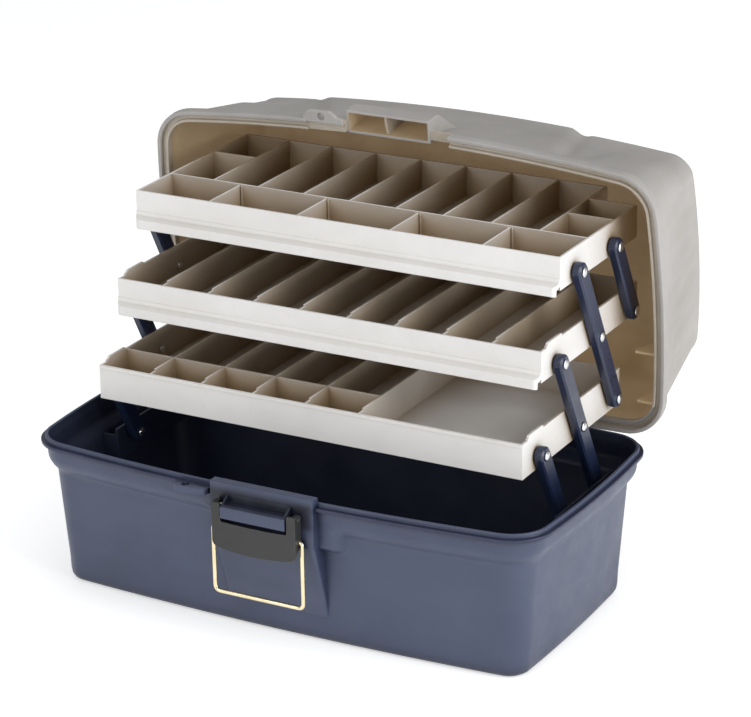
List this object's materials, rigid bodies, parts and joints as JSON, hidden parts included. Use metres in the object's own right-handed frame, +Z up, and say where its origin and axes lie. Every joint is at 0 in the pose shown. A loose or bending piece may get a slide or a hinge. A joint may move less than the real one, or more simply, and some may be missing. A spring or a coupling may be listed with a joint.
{
  "type": "fishing tackle box",
  "caption": "Moulded fishing tackle box with a hinged lid and cantilever trays that rise and step back on riveted arms; draw latch with a wire bail, folding carry handle.",
  "frame": {"origin": "middle of the length, on the plane of the underside, under the middle of the base (the drawing datum)", "axes": "+X along the length to the right seen from the latch side, -Y towards the latch side, +Z up"},
  "size_m": [0.4606, 0.392, 0.3677],
  "materials": {
    "navy_shell": "moulded navy plastic, satin to gloss",
    "navy_arm": "moulded navy plastic",
    "navy_handle": "moulded navy plastic",
    "frosted_lid": "frosted translucent plastic",
    "white_tray": "off-white plastic, satin",
    "grey_plate": "dark grey painted plate",
    "brass_wire": "bright brassed wire",
    "bright_steel": "bright rivets and pins"
  },
  "bodies": {
    "base": {"base_shell": "navy_shell", "hinge_pin_left": "bright_steel", "hinge_pin_right": "bright_steel", "latch_pin": "bright_steel", "rivet_base_front_left": "bright_steel", "rivet_base_front_right": "bright_steel", "rivet_base_rear_left": "bright_steel", "rivet_base_rear_right": "bright_steel"},
    "lid": {"lid_shell": "frosted_lid", "handle_pin_left": "bright_steel", "handle_pin_right": "bright_steel"},
    "handle": {"carry_handle": "navy_handle"},
    "lower_long_arms": {"lower_long_arm_left": "navy_arm", "lower_long_arm_right": "navy_arm"},
    "lower_front_arms": {"lower_front_arm_left": "navy_arm", "lower_front_arm_right": "navy_arm"},
    "upper_long_arms": {"upper_long_arm_left": "navy_arm", "upper_long_arm_right": "navy_arm"},
    "upper_rear_arms": {"upper_rear_arm_left": "navy_arm", "upper_rear_arm_right": "navy_arm"},
    "tray_bottom": {"bottom_tray": "white_tray", "rivet_bottom_front_left": "bright_steel", "rivet_bottom_front_right": "bright_steel", "rivet_bottom_mid_left": "bright_steel", "rivet_bottom_mid_right": "bright_steel", "rivet_bottom_rear_left": "bright_steel", "rivet_bottom_rear_right": "bright_steel"},
    "tray_middle": {"middle_tray": "white_tray", "rivet_middle_front_left": "bright_steel", "rivet_middle_front_right": "bright_steel", "rivet_middle_mid_left": "bright_steel", "rivet_middle_mid_right": "bright_steel", "rivet_middle_rear_left": "bright_steel", "rivet_middle_rear_right": "bright_steel"},
    "tray_top": {"top_tray": "white_tray", "rivet_top_front_left": "bright_steel", "rivet_top_front_right": "bright_steel", "rivet_top_mid_left": "bright_steel", "rivet_top_mid_right": "bright_steel", "loose_divider_1": "white_tray", "loose_divider_2": "white_tray", "loose_divider_3": "white_tray", "loose_divider_4": "white_tray"},
    "lever": {"latch_lever": "grey_plate"},
    "bail": {"latch_bail": "brass_wire"}
  },
  "joints": [
    {"name": "lid_hinge", "type": "hinge", "parent": "base", "child": "lid", "pos_m": [0, 0.1175, 0.1165], "axis": [1, 0, 0], "range_deg": [0, 83]},
    {"name": "lower_long_arm_swing", "type": "hinge", "parent": "base", "child": "lower_long_arms", "pos_m": [0, 0.06794, 0.097], "axis": [1, 0, 0], "range_deg": [0, 38.49]},
    {"name": "lower_front_arm_swing", "type": "hinge", "parent": "base", "child": "lower_front_arms", "pos_m": [0, 0.00194, 0.097], "axis": [1, 0, 0], "range_deg": [0, 38.49]},
    {"name": "bottom_tray_tilt", "type": "hinge", "parent": "lower_long_arms", "child": "tray_bottom", "pos_m": [0, 0.034, 0.1606], "axis": [1, 0, 0], "range_deg": [-38.49, 0]},
    {"name": "middle_tray_tilt", "type": "hinge", "parent": "lower_long_arms", "child": "tray_middle", "pos_m": [0, 0.00006, 0.2242], "axis": [1, 0, 0], "range_deg": [-38.49, 0]},
    {"name": "upper_long_arm_swing", "type": "hinge", "parent": "tray_bottom", "child": "upper_long_arms", "pos_m": [0, 0.1, 0.1606], "axis": [1, 0, 0], "range_deg": [0, 38.49]},
    {"name": "upper_rear_arm_swing", "type": "hinge", "parent": "tray_middle", "child": "upper_rear_arms", "pos_m": [0, 0.13206, 0.2242], "axis": [1, 0, 0], "range_deg": [0, 38.49]},
    {"name": "top_tray_tilt", "type": "hinge", "parent": "upper_long_arms", "child": "tray_top", "pos_m": [0, 0.03212, 0.2878], "axis": [1, 0, 0], "range_deg": [-38.49, 0]},
    {"name": "handle_fold", "type": "hinge", "parent": "lid", "child": "handle", "pos_m": [0, 0.23759, 0.23552], "axis": [1, 0, 0], "range_deg": [-92, 0]},
    {"name": "latch_lever_lift", "type": "hinge", "parent": "base", "child": "lever", "pos_m": [0, -0.1306, 0.1148], "axis": [1, 0, 0], "range_deg": [-80, 0]},
    {"name": "latch_bail_swing", "type": "hinge", "parent": "lever", "child": "bail", "pos_m": [0, -0.1306, 0.096], "axis": [1, 0, 0], "range_deg": [-100, 0]}
  ],
  "couplings": [
    {"joint": "lower_long_arm_swing", "follows": "lid_hinge", "ratio": 0.46012},
    {"joint": "lower_front_arm_swing", "follows": "lid_hinge", "ratio": 0.46012},
    {"joint": "bottom_tray_tilt", "follows": "lid_hinge", "ratio": -0.46012},
    {"joint": "middle_tray_tilt", "follows": "lid_hinge", "ratio": -0.46012},
    {"joint": "upper_long_arm_swing", "follows": "lid_hinge", "ratio": 0.46012},
    {"joint": "upper_rear_arm_swing", "follows": "lid_hinge", "ratio": 0.46012},
    {"joint": "top_tray_tilt", "follows": "lid_hinge", "ratio": -0.46012}
  ]
}
